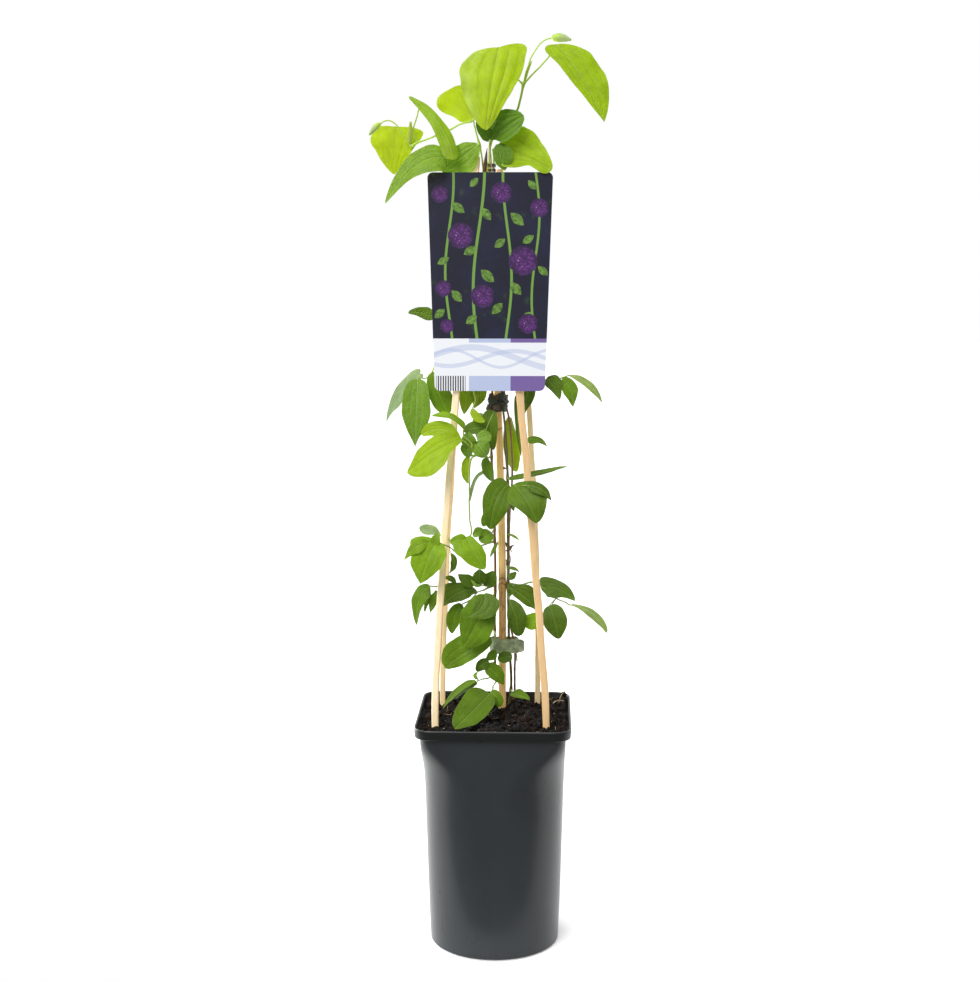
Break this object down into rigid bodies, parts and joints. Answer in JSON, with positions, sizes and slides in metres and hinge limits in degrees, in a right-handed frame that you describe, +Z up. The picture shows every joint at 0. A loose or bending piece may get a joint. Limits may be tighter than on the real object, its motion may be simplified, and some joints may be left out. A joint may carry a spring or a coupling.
{
  "type": "potted clematis on bamboo canes",
  "caption": "Young clematis in a tall square plastic pot, its leafy stems tied to upright bamboo canes that carry a picture label.",
  "frame": {"origin": "middle of the pot's round base, in the plane it stands on", "axes": "+Z up along the canes, -Y towards the side the label faces, +X to the label's right as it is read"},
  "size_m": [0.1981, 0.13, 0.7633],
  "materials": {
    "pot_plastic": "satin, moulded in one dark grey plastic",
    "peat": null,
    "bamboo_pale": "split bamboo, pale satin skin with darker edges",
    "bamboo_tan": "bamboo, tan satin skin with brown marks",
    "stem_brown": "young woody stem, reddish brown turning green",
    "shoot_green": null,
    "leaf_lime": null,
    "leaf_light": null,
    "leaf_mid": null,
    "leaf_dark": null,
    "tie_tape": "grey green plastic tape",
    "tie_dark": "dark weathered tie",
    "label_card": null,
    "label_loop": "plain white plastic"
  },
  "bodies": {
    "root": {"cane_back_left": "bamboo_tan", "cane_back_right": "bamboo_tan", "cane_centre": "bamboo_tan", "cane_front_left": "bamboo_pale", "cane_front_right": "bamboo_pale", "label": "label_card", "label_loop_left": "label_loop", "label_loop_right": "label_loop", "leaf_back_lower": "leaf_mid", "leaf_back_middle": "leaf_mid", "leaf_back_upper_left": "leaf_mid", "leaf_back_upper_right": "leaf_mid", "leaf_base_cluster": "leaf_mid", "leaf_base_front": "leaf_light", "leaf_base_small_right": "leaf_light", "leaf_base_under_tie": "leaf_mid", "leaf_crown_behind": "leaf_lime", "leaf_crown_centre": "leaf_lime", "leaf_crown_curled": "leaf_dark", "leaf_crown_far_left": "leaf_lime", "leaf_crown_folded": "leaf_lime", "leaf_crown_left_dark": "leaf_dark", "leaf_crown_mid_dark": "leaf_dark", "leaf_crown_right": "leaf_lime", "leaf_crown_right_lime": "leaf_lime", "leaf_lower_broad": "leaf_mid", "leaf_lower_front": "leaf_light", "leaf_lower_left_dark": "leaf_dark", "leaf_lower_left_droop": "leaf_mid", "leaf_lower_left_light": "leaf_light", "leaf_middle_clump": "leaf_mid", "leaf_middle_dark_left": "leaf_dark", "leaf_middle_long_right": "leaf_mid", "leaf_middle_pale_back": "leaf_mid", "leaf_right_compound": "leaf_dark", "leaf_right_near": "leaf_mid", "leaf_right_small": "leaf_light", "leaf_side_shoot": "leaf_mid", "leaf_upper_behind_cane": "leaf_dark", "leaf_upper_dark_clump": "leaf_dark", "leaf_upper_hanging": "leaf_dark", "leaf_upper_left_compound": "leaf_mid", "leaf_upper_left_tip": "leaf_dark", "leaf_upper_right": "leaf_mid", "pot": "pot_plastic", "shoot_left": "shoot_green", "shoot_tip_left": "shoot_green", "shoot_tip_right": "shoot_green", "soil": "peat", "stem_left": "stem_brown", "stem_right": "stem_brown", "stem_third": "stem_brown", "tie_lower": "tie_tape", "tie_middle": "tie_dark", "tie_top": "tie_dark"}
  },
  "joints": []
}
